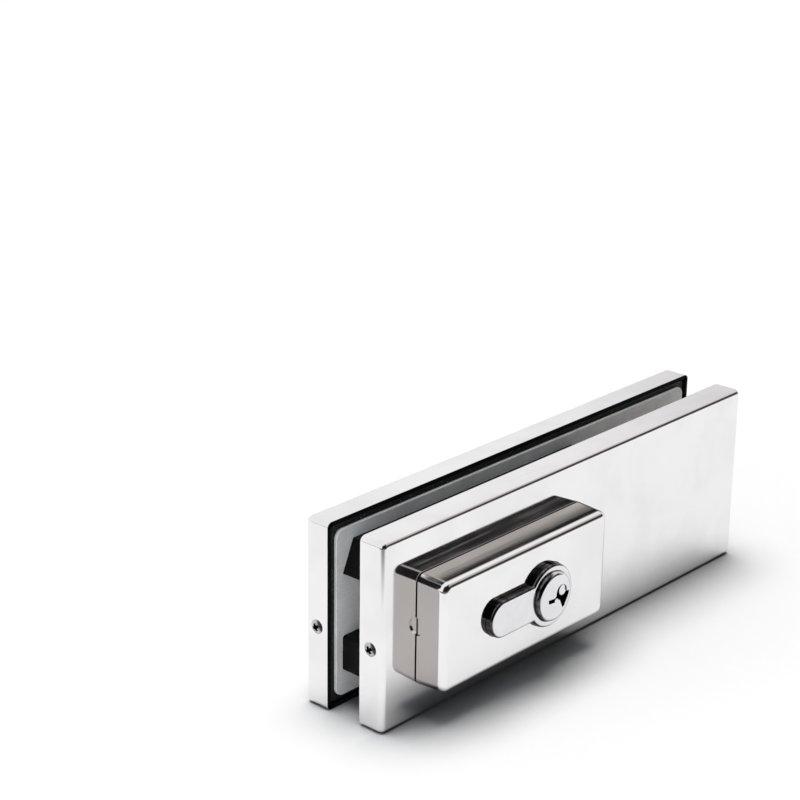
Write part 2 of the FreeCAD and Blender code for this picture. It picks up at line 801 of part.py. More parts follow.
def spring_section():
    """Six-sided outline that stands for the spring's round wire."""
    corners = []
    for side in range(spring_sides + 1):
        angle = math.radians(360 * side / spring_sides)
        corners.append(FreeCAD.Vector(spring_radius + spring_wire / 2 * math.cos(angle), 0,
                                      spring_wire / 2 * math.sin(angle)))
    return Part.makePolygon(corners)


def make_pin_springs():
    """Coil springs between the driver pins and the caps."""
    low = driver_start() + driver_length + spring_wire
    high = cap_start() - spring_wire
    pitch = (high - low) / spring_turns
    springs = []
    for y in pin_depths():
        path = Part.makeHelix(pitch, high - low, spring_radius)
        coil = Part.Wire(path).makePipeShell([spring_section()], True, False)
        coil.rotate(FreeCAD.Vector(0, 0, 0), FreeCAD.Vector(0, 1, 0), -90)
        coil.translate(FreeCAD.Vector(key_x - low, y, key_z))
        springs.append(coil)
    return Part.makeCompound(springs)


def make_all():
    """Every sub-part under its node name."""
    return {
        "front_cover": make_front_cover(),
        "back_cover": make_back_cover(),
        "cover_screws": make_cover_screws(),
        "front_body": make_front_body(),
        "back_body": make_back_body(),
        "front_gasket": make_gasket(-1),
        "back_gasket": make_gasket(1),
        "clamp_screws": make_clamp_screws(),
        "cylinder_housing": make_cylinder_housing(),
        "housing_screws": make_housing_screws(),
        "lock_case": make_lock_case(),
        "case_lid": make_case_lid(),
        "lid_screws": make_lid_screws(),
        "bolt": make_bolt(),
        "drag_strip": make_drag_strip(),
        "forend": make_forend(),
        "forend_screws": make_forend_screws(),
        "cylinder_fixing_screw": make_cylinder_fixing_screw(),
        "cylinder_body": make_cylinder_body(),
        "key_plug": make_key_plug(),
        "cylinder_cam": make_cylinder_cam(),
        "plug_clip": make_plug_clip(),
        "key_pins": make_key_pins(),
        "driver_pins": make_driver_pins(),
        "pin_springs": make_pin_springs(),
        "pin_caps": make_pin_caps(),
    }


def export_all():
    """Write one STEP file for each sub-part."""
    os.makedirs("parts", exist_ok=True)
    for name, shape in make_all().items():
        shape.exportStep("parts/" + name + ".step")
        print(name, "solids", len(shape.Solids), "volume", round(shape.Volume, 1), "valid", shape.isValid())


export_all()
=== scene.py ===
import math

import bmesh
import bpy
from bpy.props import FloatProperty, FloatVectorProperty, IntProperty, PointerProperty
from mathutils import Matrix, Vector


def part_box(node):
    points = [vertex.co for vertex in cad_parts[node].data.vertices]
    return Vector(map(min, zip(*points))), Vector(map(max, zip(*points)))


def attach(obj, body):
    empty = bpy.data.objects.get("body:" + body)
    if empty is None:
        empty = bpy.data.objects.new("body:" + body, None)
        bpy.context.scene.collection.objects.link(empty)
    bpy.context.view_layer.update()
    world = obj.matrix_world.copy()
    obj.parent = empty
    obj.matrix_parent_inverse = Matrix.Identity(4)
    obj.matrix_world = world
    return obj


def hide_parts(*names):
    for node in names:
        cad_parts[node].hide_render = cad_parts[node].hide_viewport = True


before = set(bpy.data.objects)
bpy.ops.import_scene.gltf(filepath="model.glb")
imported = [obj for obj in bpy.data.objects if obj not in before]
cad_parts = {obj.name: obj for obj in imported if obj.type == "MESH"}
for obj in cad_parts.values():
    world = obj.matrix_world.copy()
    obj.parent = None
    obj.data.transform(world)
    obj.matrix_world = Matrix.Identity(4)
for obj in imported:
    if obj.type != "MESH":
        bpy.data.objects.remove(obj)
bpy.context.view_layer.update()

bl_info = {
    "name": "Glass Door Bottom Lock",
    "version": (1, 0, 0),
    "blender": (4, 5, 0),
    "location": "3D View > Sidebar > Door Lock",
    "description": "Models a polished patch lock for the bottom edge of a glass door",
    "category": "Mesh",
}

MM = 0.001
NEAR = 0.000005  # places closer than this count as one
AXES = {"X": 0, "Y": 1, "Z": 2}
LOCK_FRAME = "lock_frame"
PLUG_AND_CAM = "plug_and_cam"
SMOOTH_ANGLE = 35  # degrees; sharper edges stay sharp

# Hidden lengths, as the solids have them
SCREW_HOLE = 1.65 * MM
SCREW_SHANK = 1.5 * MM
SCREW_REACH = 6 * MM
CLAMP_HEAD = 4.6 * MM
LOW_CLAMP_HEIGHT = 14.4 * MM
CLAMP_HOLE = 3 * MM
GASKET_GAP = 0.5 * MM
GASKET_EDGE = 0.18 * MM
PLUG_GAP = 0.12 * MM
PLUG_NECK = 5 * MM
CLIP_GROOVE = 6 * MM
CAM_SLOT_LEFT = 8.9 * MM
CAM_SLOT_SPAN = 10 * MM
FIXING_HOLE = 2.52 * MM
FIXING_PLACE = 18.5 * MM
FIXING_REACH = 8 * MM
PIN_STACKS = 5
PIN_BORE_START = 1.2 * MM
KEYWAY_END = 2.5 * MM  # metal left between the keyway and the clip

# Keyway seen from the front, in millimetres right of and above the plug's axis
HEEL = ((-2.85, 0.05), (-0.4, -0.2), (-0.3, -1.35), (-2.75, -1.1))
SLIT = ((-0.6, -0.3), (-0.36, -0.9), (1.15, 0.1), (0.75, 0.55))
BLADE = ((0.8, 0.5), (5.2, 0.45), (5.45, 0.0), (4.9, -1.2), (3.5, -3.45), (2.9, -3.75), (1.9, -1.7))
RECESS = (2.35, 0.75)
RECESS_RADIUS = 2.1 * MM
RECESS_DEPTH = 1.4 * MM
GUARD = (3.1, 1.05)
GUARD_RADIUS = 1.4 * MM
GUARD_DROP = 0.3 * MM
BARREL_SIDES = 144

# The pry notch lies a little above the middle; its cutter leans from before the foot to behind it
NOTCH_RAISE = 1.2 * MM
NOTCH_BEFORE = 0.04 * MM
NOTCH_BEHIND = 0.02 * MM

# The slight hollow on top of the housing: its slope at the foot, and what the slope gains by the face
HOLLOW_START = 0.12
HOLLOW_GAIN = 0.26

# Fixed tones
WHITE = (1.0, 1.0, 1.0, 1.0)
BLACK = (0.0, 0.0, 0.0, 1.0)
# Painted reflection: near-black tone painted on the sides of the cylinder and plug and on the cover screws'
# domes
PAINTED_REFLECTION_TONE = (0.02, 0.02, 0.022, 1.0)
# Painted shade: near-black tone on the covers' insides and rims, in the housing's foot seam and in the
# screws' cross recesses
PAINTED_SHADE_TONE = (0.006, 0.006, 0.0065, 1.0)
DULL_ROUGHNESS = 0.85
GREY_SPECKS = (0.6, 0.59, 0.58, 1.0)
BLACK_SPECKS = (0.02, 0.02, 0.021, 1.0)
SPRING_TONE = (0.42, 0.41, 0.40, 1.0)
SINTERED_TONE = (0.30, 0.29, 0.28, 1.0)
# Painted reflection: floor tones that only the steel's glossy rays see
PAINTED_FAR_FLOOR_REFLECTION = (0.12, 0.112, 0.108, 1.0)
PAINTED_TWICE_SEEN_FLOOR_REFLECTION = (0.54, 0.515, 0.495, 1.0)
ROOM_DARK = (0.013, 0.013, 0.014, 1.0)
ROOM_LIFTED = (0.55, 0.52, 0.495, 1.0)
ROOM_BACK = (0.97, 0.965, 0.97, 1.0)
ROOM_SIDE = (0.76, 0.75, 0.76, 1.0)
ROOM_FILL = (0.84, 0.91, 1.0, 1.0)

SUN_PLACE = (0.03, 0.10, 1.0)
SUN_TONE = (1.0, 0.985, 0.965)
SUN_ANGLE = math.radians(40)
SUN_ENERGY = 2.85

CAMERA_PLACE = Vector((-0.41711, -0.32647, 0.25956))
CAMERA_YAW = math.radians(47.930)
CAMERA_PITCH = math.radians(20.328)
CAMERA_ROLL = math.radians(-0.709)
CAMERA_LENS = 96.73


def length(name, description, millimetres):
    """Property for a length of the lock."""
    return FloatProperty(name=name, description=description, default=millimetres * MM,
                         unit="LENGTH", subtype="DISTANCE", precision=5)


def colour(name, description, red, green, blue):
    """Property for a colour of the lock."""
    return FloatVectorProperty(name=name, description=description, default=(red, green, blue, 1.0),
                               size=4, min=0.0, max=1.0, subtype="COLOR")


def share(name, description, value):
    """Property for a value between nought and one."""
    return FloatProperty(name=name, description=description, default=value, min=0.0, max=1.0,
                         subtype="FACTOR")


class LockSizes(bpy.types.PropertyGroup):
    """Sizes of the lock's shown pieces."""

    edge_radius: length("Edge radius", "Radius of a cover's corners and round its face", 1.5)
    cover_wall: length("Cover wall", "Thickness of the pressed covers", 1.2)
    rim_edge: length("Rim edge", "Small rounding along the rim of a cover", 0.15)
    housing_corner: length("Housing corner", "Radius of the housing's four corners", 2.4)
    housing_edge: length("Housing edge", "Radius round the face of the housing", 1.8)
    housing_wall: length("Housing wall", "Thickness of the housing's walls", 1.5)
    housing_draft: length("Housing draft", "How far each side leans in over the housing's depth", 0.3575)
    foot_edge: length("Foot edge", "Rounding where the housing meets the cover", 0.4)
    notch_radius: length("Notch radius", "Radius of the pry notch at the housing's left foot", 2.4)
    notch_depth: length("Notch depth", "How far the pry notch reaches into the wall", 0.45)
    # The foot seam is painted near-black as shade in the steel's finish
    foot_seam: length("Foot seam", "Width of the dark seam round the housing's foot", 0.28)
    window_inset: length("Window inset", "How far the cover's window lies inside the housing", 2.0)
    barrel_radius: length("Barrel radius", "Radius of the cylinder's barrel", 8.5)
    tail_width: length("Tail width", "Width of the cylinder's tail", 10.0)
    profile_gap: length("Profile gap", "Gap between the cylinder and the housing", 0.15)
    cylinder_edge: length("Cylinder edge", "Rounding round the cylinder's face", 0.8)
    plug_radius: length("Plug radius", "Radius of the plug", 6.75)
    plug_edge: length("Plug edge", "Rounding round the plug's face", 1.25)
    plug_skin: length("Plug skin", "Metal left outside the keyway's wide side", 0.65)
    pin_radius: length("Pin radius", "Radius of the pins in their stacks", 1.25)
    pin_bore: length("Pin bore", "Radius of the pins' bores", 1.3)
    screw_head: length("Screw head", "Radius of a cover screw's domed head", 1.9)
    screw_dome: length("Screw dome", "Height of a cover screw's dome", 0.7)
    cross_reach: length("Cross reach", "Half length of a cross recess's arms", 1.35)
    cross_width: length("Cross width", "Half width of a cross recess's arms", 0.56)
    cross_depth: length("Cross depth", "Depth of a cross recess", 1.5)
    gasket_corner: length("Gasket corner", "Radius of a gasket's four corners", 2.5)
    corner_steps: IntProperty(name="Corner steps", description="Faces round each large radius",
                              default=12, min=2, max=32)


class LockFinishes(bpy.types.PropertyGroup):
    """Colours and gloss of the lock's finishes."""

    steel: colour("Polished steel", "Mirror steel of the covers and the housing", 0.872, 0.864, 0.868)
    steel_rough: share("Steel roughness", "Roughness of the mirror steel", 0.05)
    plating: colour("Plating", "Nickel plating of the cylinder and plug", 0.79, 0.785, 0.8)
    screw: colour("Screw steel", "Plated steel of the screws", 0.6, 0.595, 0.59)
    casting: colour("Cast bodies", "Dark rough casting inside the covers", 0.018, 0.018, 0.018)
    black: colour("Black casting", "Painted casting of the lock case", 0.002, 0.002, 0.0022)
    fibre: colour("Fibre", "Pale fibre of the gaskets", 0.88, 0.865, 0.845)
    bolt: colour("Bolt steel", "Satin steel of the bolt and the forend strip", 0.55, 0.545, 0.54)
    brass: colour("Brass", "Brass of the pins", 0.72, 0.49, 0.19)
    floor: colour("Floor", "Pale floor under the lock", 0.93, 0.93, 0.935)


def sizes():
    """The size properties of the scene."""
    return bpy.context.scene.lock_sizes


def finishes():
    """The finish properties of the scene."""
    return bpy.context.scene.lock_finishes


# Modelling by hand: primitives, selections and edit-mode tools

def clear_selection():
    """Leave edit mode and deselect everything."""
    if bpy.context.object and bpy.context.object.mode != "OBJECT":
        bpy.ops.object.mode_set(mode="OBJECT")
    bpy.ops.object.select_all(action="DESELECT")


def take_up(piece):
    """Make a piece the only selected one and the active one."""
    clear_selection()
    piece.select_set(True)
    bpy.context.view_layer.objects.active = piece


def placed(name):
    """Name the new primitive and put its place into its mesh."""
    piece = bpy.context.object
    piece.name = name
    piece.data.name = name
    bpy.ops.object.transform_apply(location=True, rotation=True, scale=True)
    return piece


def add_block(name, low, high):
    """Block between two corners."""
    clear_selection()
    low = Vector(low)
    high = Vector(high)
    bpy.ops.mesh.primitive_cube_add(size=1, location=(low + high) / 2, scale=high - low)
    return placed(name)


def add_bar(name, radius, start, end, sides):
    """Round bar between two points."""
    clear_selection()
    start = Vector(start)
    way = Vector(end) - start
    bpy.ops.mesh.primitive_cylinder_add(vertices=sides, radius=radius, depth=way.length,
                                        location=start + way / 2,
                                        rotation=way.to_track_quat("Z", "Y").to_euler())
    return placed(name)


def depth_bar(radius, x, z, start, end, sides, name="cutter"):
    """Round bar along Y."""
    return add_bar(name, radius, (x, start, z), (x, end, z), sides)


def add_prism(name, corners, front, back):
    """Straight prism over (x, z) corners, made from a small disc whose corners are drawn out."""
    clear_selection()
    middle = Vector((sum(x for x, z in corners), 0, sum(z for x, z in corners))) / len(corners)
    middle.y = front
    bpy.ops.mesh.primitive_circle_add(vertices=len(corners), radius=0.05 * MM, fill_type="NGON",
                                      location=middle, rotation=(math.radians(90), 0, 0))
    prism = placed(name)
    edit(prism)
    for step, (x, z) in enumerate(corners):
        turn = 2 * math.pi * step / len(corners)
        start = middle + Vector((-math.sin(turn), 0, math.cos(turn))) * 0.05 * MM
        choose(prism, "VERT", lambda vertex: (vertex.co - start).length < NEAR)
        bpy.ops.transform.translate(value=Vector((x, front, z)) - start)
    select_whole()
    bpy.ops.mesh.extrude_region_move(TRANSFORM_OT_translate={"value": (0, back - front, 0)})
    close_edit()
    return prism


def edit(piece):
    """Open a piece for editing."""
    take_up(piece)
    bpy.ops.object.mode_set(mode="EDIT")


def select_whole():
    """Select all of the open piece."""
    bpy.ops.mesh.select_all(action="SELECT")


def choose(piece, kind, test):
    """Select the vertices, edges or faces that pass a test."""
    bpy.ops.mesh.select_mode(type=kind)
    bpy.ops.mesh.select_all(action="DESELECT")
    shape = bmesh.from_edit_mesh(piece.data)
    shape.normal_update()
    members = {"VERT": shape.verts, "EDGE": shape.edges, "FACE": shape.faces}[kind]
    found = [member for member in members if test(member)]
    for member in found:
        member.select_set(True)
    bmesh.update_edit_mesh(piece.data)
    if not found:
        raise RuntimeError(f"{piece.name}: no {kind.lower()} passes the test")


def lies_at(axis, value):
    """Test for edges or faces whose vertices all lie in a plane square to an axis."""
    index = AXES[axis]
    return lambda member: all(abs(v.co[index] - value) < NEAR for v in member.verts)


def runs_along(axis, least):
    """Test for edges that reach further along an axis than a length."""
    index = AXES[axis]
    return lambda edge: abs(edge.verts[0].co[index] - edge.verts[1].co[index]) > least


def is_sharp_at(axis, value):
    """Test for edges in a plane square to an axis where two faces meet at a corner."""
    in_plane = lies_at(axis, value)
    return lambda edge: in_plane(edge) and len(edge.link_faces) == 2 and edge.calc_face_angle() > 0.5


def passes_one(*tests):
    """Test that is met when one of several is."""
    return lambda member: any(test(member) for test in tests)


def round_edges(piece, test, radius, steps):
    """Bevel the chosen edges."""
    choose(piece, "EDGE", test)
    bpy.ops.mesh.bevel(offset_type="OFFSET", offset=radius, segments=steps, profile=0.5,
                       affect="EDGES", clamp_overlap=False)


def sink_face(piece, test, border, way):
    """Inset the chosen face and push it some way."""
    choose(piece, "FACE", test)
    bpy.ops.mesh.inset(thickness=border, depth=0, use_even_offset=True)
    bpy.ops.mesh.extrude_region_move(TRANSFORM_OT_translate={"value": way})


def close_edit():
    """Clean the open piece and leave edit mode."""
    select_whole()
    bpy.ops.mesh.remove_doubles(threshold=0.000001)
    bpy.ops.mesh.normals_make_consistent(inside=False)
    bpy.ops.object.mode_set(mode="OBJECT")


def combine(piece, other, operation):
    """Apply another piece to this one as a boolean and delete it."""
    take_up(piece)
    modifier = piece.modifiers.new("Shape", "BOOLEAN")
    modifier.operation = operation
    modifier.solver = "EXACT"
    modifier.object = other
    bpy.ops.object.modifier_apply(modifier=modifier.name)
    bpy.data.objects.remove(other, do_unlink=True)


def cut(piece, *cutters):
    """Cut other pieces out of this one."""
    for cutter in cutters:
        combine(piece, cutter, "DIFFERENCE")


def weld(piece, *others):
    """Join other solids to this one."""
    for other in others:
        combine(piece, other, "UNION")


def even_shading(piece):
    """Smooth the roundings and keep the flats flat."""
    take_up(piece)
    bpy.ops.object.shade_smooth_by_angle(angle=math.radians(SMOOTH_ANGLE))
    modifier = piece.modifiers.new("Shading", "WEIGHTED_NORMAL")
    modifier.mode = "FACE_AREA"
    modifier.weight = 100
    modifier.keep_sharp = True
    bpy.ops.object.modifier_apply(modifier=modifier.name)


def finish_piece(piece, material, body, slot, *nodes):
    """Shade a piece and give it its finish, the body it moves with and the nodes it stands for."""
    even_shading(piece)
    piece.data.materials.clear()
    piece.data.materials.append(bpy.data.materials[material])
    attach(piece, body)
    if nodes:
        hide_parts(*nodes)


# Node tools for the finishes

def add_node(tree, kind, **values):
    """Add a node and set its own properties."""
    node = tree.nodes.new(kind)
    for name, value in values.items():
        setattr(node, name, value)
    return node


def feed(tree, socket, value):
    """Link a socket to an output or set its value."""
    if isinstance(value, bpy.types.NodeSocket):
        tree.links.new(value, socket)
    else:
        socket.default_value = value


def output_of(tree, kind, output, inputs, **values):
    """Output of a new node whose inputs are fed by name or number."""
    node = add_node(tree, kind, **values)
    for socket, value in inputs.items():
        feed(tree, node.inputs[socket], value)
    return node.outputs[output]


def noise(tree, vector, scale, detail=3.0, roughness=0.5, distortion=0.0):
    """Noise value at a place."""
    return output_of(tree, "ShaderNodeTexNoise", "Fac", {"Vector": vector, "Scale": scale, "Detail": detail,
                                                         "Roughness": roughness, "Distortion": distortion})


def stretched(tree, vector, scale):
    """Vector with each axis scaled."""
    return output_of(tree, "ShaderNodeMapping", "Vector", {"Vector": vector, "Scale": scale})


def ranged(tree, value, low, high, to_low=0.0, to_high=1.0):
    """Value moved smoothly from one range to another."""
    return output_of(tree, "ShaderNodeMapRange", "Result",
                     {"Value": value, "From Min": low, "From Max": high, "To Min": to_low, "To Max": to_high},
                     interpolation_type="SMOOTHSTEP")


def maths(tree, operation, first, second):
    """Result of a sum on two values."""
    return output_of(tree, "ShaderNodeMath", "Value", {0: first, 1: second}, operation=operation)


def times(tree, first, second):
    """Product of two values."""
    return maths(tree, "MULTIPLY", first, second)


def minus(tree, first, second):
    """First value less the second."""
    return maths(tree, "SUBTRACT", first, second)


def larger(tree, first, second):
    """The larger of two values."""
    return maths(tree, "MAXIMUM", first, second)


def size_of(tree, value):
    """A value without its sign."""
    return maths(tree, "ABSOLUTE", value, 0.0)


def axes_of(tree, vector):
    """X, Y and Z of a vector."""
    node = add_node(tree, "ShaderNodeSeparateXYZ")
    feed(tree, node.inputs["Vector"], vector)
    return node.outputs


def joined(tree, **axes):
    """Vector from its axes, with nought for an axis left out."""
    return output_of(tree, "ShaderNodeCombineXYZ", "Vector", axes)


def facing(tree):
    """X, Y and Z of the way the surface looks."""
    return axes_of(tree, add_node(tree, "ShaderNodeTexCoord").outputs["Normal"])


def blended(tree, factor, first, second):
    """Colour between two colours."""
    return output_of(tree, "ShaderNodeMix", "Result", {"Factor": factor, "A": first, "B": second},
                     data_type="RGBA")


def raised(tree, height, distance, strength=1.0, normal=None):
    """Bumped normal from a height."""
    inputs = {"Height": height, "Distance": distance, "Strength": strength}
    if normal is not None:
        inputs["Normal"] = normal
    return output_of(tree, "ShaderNodeBump", "Normal", inputs)


def make_group(name, scales, outputs):
    """Empty shader node group that takes a place and named scales, and its input and output sockets."""
    group = bpy.data.node_groups.new(name, "ShaderNodeTree")
    group.interface.new_socket(name="Place", in_out="INPUT", socket_type="NodeSocketVector")
    for scale, value in scales.items():
        made = group.interface.new_socket(name=scale, in_out="INPUT", socket_type="NodeSocketFloat")
        made.default_value = value
    for socket in outputs:
        group.interface.new_socket(name=socket, in_out="OUTPUT", socket_type="NodeSocketFloat")
    entry = add_node(group, "NodeGroupInput")
    leave = add_node(group, "NodeGroupOutput")
    return group, entry.outputs, leave.inputs


def build_polish_group():
    """Smudges, buffing lines and the slight waviness of buffed metal."""
    group, entry, leave = make_group(
        "Polish marks", {"Line Scale": 900.0, "Smudge Scale": 60.0, "Wave Scale": 22.0},
        ["Lines", "Smudges", "Waves"])
    drawn = stretched(group, entry["Place"], (0.03, 1.0, 1.0))
    lines = noise(group, drawn, entry["Line Scale"], 4.0, 0.6)
    patches = noise(group, entry["Place"], entry["Smudge Scale"], 4.0, 0.55, 0.4)
    waves = noise(group, entry["Place"], entry["Wave Scale"], 1.0, 0.4)
    feed(group, leave["Lines"], lines)
    feed(group, leave["Smudges"], ranged(group, patches, 0.35, 0.7))
    feed(group, leave["Waves"], waves)


def build_grain_group():
    """Sandy grain, pits and specks of a casting."""
    group, entry, leave = make_group(
        "Casting grain", {"Grain Scale": 2200.0, "Pit Scale": 600.0}, ["Grain", "Specks", "Pits"])
    grain = noise(group, entry["Place"], entry["Grain Scale"], 5.0, 0.65)
    pits = output_of(group, "ShaderNodeTexVoronoi", "Distance",
                     {"Vector": entry["Place"], "Scale": entry["Pit Scale"]}, feature="F1")
    feed(group, leave["Grain"], grain)
    feed(group, leave["Specks"], ranged(group, grain, 0.6, 0.78))
    feed(group, leave["Pits"], ranged(group, pits, 0.0, 0.45))


def build_fibre_group():
    """Matted fibres and mottling of pressed fibre board."""
    group, entry, leave = make_group(
        "Pressed fibre", {"Fibre Scale": 1500.0, "Mottle Scale": 130.0}, ["Fibres", "Mottle"])
    place, scale = entry["Place"], entry["Fibre Scale"]
    flat, upright = (noise(group, stretched(group, place, way), scale, 4.0, 0.6, 0.8)
                     for way in ((0.25, 1.0, 1.0), (1.0, 1.0, 0.25)))
    mottle = noise(group, entry["Place"], entry["Mottle Scale"], 5.0, 0.6)
    feed(group, leave["Fibres"], larger(group, flat, upright))
    feed(group, leave["Mottle"], ranged(group, mottle, 0.3, 0.7))


def start_material(name):
    """Node tree of a new material, its shader and the object's own coordinates."""
    material = bpy.data.materials.new(name)
    material.use_nodes = True
    tree = material.node_tree
    shader = tree.nodes["Principled BSDF"]
    place = add_node(tree, "ShaderNodeTexCoord").outputs["Object"]
    return tree, shader, place


def place_group(tree, group, place, **values):
    """Put a shared group into a material with its own values."""
    node = add_node(tree, "ShaderNodeGroup")
    node.node_tree = bpy.data.node_groups[group]
    feed(tree, node.inputs["Place"], place)
    for name, value in values.items():
        node.inputs[name.replace("_", " ")].default_value = value
    return node.outputs


def darker(colour_value, factor):
    """Colour with its brightness scaled."""
    return tuple(channel * factor for channel in colour_value[:3]) + (1.0,)


def faces_up(tree):
    """One on surfaces that look up and nought on upright ones."""
    return ranged(tree, facing(tree)["Z"], 0.7, 0.95)


def shaded_inside_and_seam(tree, place):
    """One on the inner sides and rims of the covers and in the seam at the housing's foot: the steel is
    unpolished there and painted near-black as shade.
    """
    low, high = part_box("front_cover")
    middle = (low + high) / 2
    where = axes_of(tree, place)
    mask = None
    for axis, centre, limit in (("X", 0.0, high.x - MM), ("Z", middle.z, high.z - middle.z - MM),
                                ("Y", 0.0, -low.y - MM)):
        away = size_of(tree, minus(tree, where[axis], centre))
        part = maths(tree, "LESS_THAN", away, limit)
        mask = part if mask is None else times(tree, mask, part)
    rim = maths(tree, "LESS_THAN", size_of(tree, where["Y"]), 0.15 * MM - high.y)
    before_foot = maths(tree, "LESS_THAN", where["Y"], low.y - 4 * NEAR)
    behind_seam = maths(tree, "GREATER_THAN", where["Y"], low.y - sizes().foot_seam)
    return larger(tree, larger(tree, mask, rim), times(tree, before_foot, behind_seam))


def painted_dark_reflection_left(tree, place):
    """One on the cylinder's rounded sides that look left or up and on the left of the plug's rounding, where
    a dark reflection is painted.
    """
    look = facing(tree)
    where = axes_of(tree, place)
    x, z = key_axis()
    side = ranged(tree, size_of(tree, look["Y"]), 0.8, 0.985, 1.0, 0.0)
    up = times(tree, look["Z"], 0.5)
    body = ranged(tree, minus(tree, up, look["X"]), -0.35, 0.15)
    plug = ranged(tree, minus(tree, times(tree, up, 0.4), look["X"]), 0.12, 0.4)
    away = joined(tree, X=minus(tree, where["X"], x), Z=minus(tree, where["Z"], z))
    reach = output_of(tree, "ShaderNodeVectorMath", "Value", {0: away}, operation="LENGTH")
    on_plug = maths(tree, "LESS_THAN", reach, sizes().plug_radius + 0.05 * MM)
    turned = output_of(tree, "ShaderNodeMix", "Result", {"Factor": on_plug, "A": body, "B": plug})
    streaks = noise(tree, stretched(tree, place, (1.0, 0.05, 1.0)), 700.0, 3.0, 0.6)
    return times(tree, times(tree, side, turned), ranged(tree, streaks, 0.3, 0.75, 1.0, 0.8))


def painted_dark_reflection_front(tree, place):
    """One on the front and upper side of a cover screw's dome, where a dark reflection is painted."""
    look = facing(tree)
    return ranged(tree, minus(tree, times(tree, look["Z"], 0.5), look["Y"]), 0.2, 0.5, 0.0, 0.95)


def hollow_top(tree, place):
    """Height of the slight hollow that polishing leaves on top of the housing, for the camera's own rays."""
    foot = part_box("front_cover")[0].y
    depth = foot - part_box("cylinder_housing")[0].y
    out = larger(tree, minus(tree, foot, axes_of(tree, place)["Y"]), 0.0)
    slope = minus(tree, times(tree, out, HOLLOW_GAIN / (2 * depth)), HOLLOW_START)
    seen = times(tree, faces_up(tree), add_node(tree, "ShaderNodeLightPath").outputs["Is Camera Ray"])
    return times(tree, seen, times(tree, out, slope))


def shaded_screw_recess(tree, place):
    """One inside the cross recess of a cover screw's head, where shade is painted near-black, and nought on
    its dome.
    """
    ball = dome_ball()
    wall, depth, height = screw_places()[0]
    where = axes_of(tree, place)
    folded = joined(tree, X=size_of(tree, where["X"]), Y=size_of(tree, where["Y"]), Z=where["Z"])
    middle = (abs(wall) + sizes().screw_dome - ball, abs(depth), height)
    reach = output_of(tree, "ShaderNodeVectorMath", "Value", {0: folded, 1: middle}, operation="DISTANCE")
    return ranged(tree, reach, ball - 0.3 * MM, ball - 0.08 * MM, 1.0, 0.0)


def metal_material(name, tone, rough, rough_spread, line_height, wave_height, tone_spread=0.06,
                   top_streaks=0.0, painted_reflection_part=None, dull_and_shaded_part=None, **scales):
    """Metal with buffing lines, smudges and waviness, streaks on top faces, a painted dark reflection, and
    dull parts painted near-black as shade.
    """
    tree, shader, place = start_material(name)
    marks = place_group(tree, "Polish marks", place, **scales)
    shader.inputs["Metallic"].default_value = 1.0
    shader.inputs["Specular IOR Level"].default_value = 0.1
    worn_and_painted_tone = blended(tree, marks["Smudges"], tuple(tone), darker(tone, 1.0 - tone_spread))
    # Painted reflection: a near-black tone where the reflection mask is one
    if painted_reflection_part:
        worn_and_painted_tone = blended(tree, painted_reflection_part(tree, place), worn_and_painted_tone, PAINTED_REFLECTION_TONE)
    worn = times(tree, marks["Smudges"], marks["Lines"])
    gloss = ranged(tree, worn, 0.0, 0.6, rough, rough + rough_spread)
    waves = raised(tree, marks["Waves"], wave_height)
    if top_streaks:
        up = faces_up(tree)
        coarse = noise(tree, stretched(tree, place, (0.06, 1.0, 1.0)), 420.0, 5.0, 0.65)
        gloss = maths(tree, "ADD", gloss, times(tree, up, ranged(tree, coarse, 0.4, 0.7, 0.02, 0.2)))
        waves = raised(tree, hollow_top(tree, place), 1.0, normal=waves)
        waves = raised(tree, times(tree, coarse, up), top_streaks, normal=waves)
    # Painted shade: the dull part turns near-black, and also rough and not metal
    if dull_and_shaded_part:
        dull_and_shaded = dull_and_shaded_part(tree, place)
        worn_and_painted_tone = blended(tree, dull_and_shaded, worn_and_painted_tone, PAINTED_SHADE_TONE)
        gloss = larger(tree, gloss, times(tree, dull_and_shaded, DULL_ROUGHNESS))
        feed(tree, shader.inputs["Metallic"], minus(tree, 1.0, dull_and_shaded))
    feed(tree, shader.inputs["Base Color"], worn_and_painted_tone)
    feed(tree, shader.inputs["Roughness"], gloss)
    feed(tree, shader.inputs["Normal"], raised(tree, marks["Lines"], line_height, normal=waves))


def casting_material(name, tone, rough, grain_height, speck_tone, shine, **scales):
    """Rough dark casting with sandy grain."""
    tree, shader, place = start_material(name)
    shader.inputs["Specular IOR Level"].default_value = shine
    grain = place_group(tree, "Casting grain", place, **scales)
    feed(tree, shader.inputs["Base Color"], blended(tree, grain["Specks"], tuple(tone), speck_tone))
    feed(tree, shader.inputs["Roughness"], ranged(tree, grain["Grain"], 0.3, 0.7, rough + 0.12, rough - 0.08))
    pits = raised(tree, grain["Pits"], grain_height * 0.6)
    feed(tree, shader.inputs["Normal"], raised(tree, grain["Grain"], grain_height, normal=pits))


def fibre_material(name, tone):
    """Pale pressed fibre with mottling."""
    tree, shader, place = start_material(name)
    fibre = place_group(tree, "Pressed fibre", place)
    mottled = blended(tree, fibre["Mottle"], darker(tone, 0.88), tuple(tone))
    feed(tree, shader.inputs["Base Color"],
         blended(tree, ranged(tree, fibre["Fibres"], 0.45, 0.75, 0.0, 0.5), mottled, darker(tone, 1.15)))
    shader.inputs["Specular IOR Level"].default_value = 0.25
    feed(tree, shader.inputs["Roughness"], ranged(tree, fibre["Mottle"], 0.0, 1.0, 0.78, 0.92))
    feed(tree, shader.inputs["Normal"], raised(tree, fibre["Fibres"], 0.00012, 0.8))


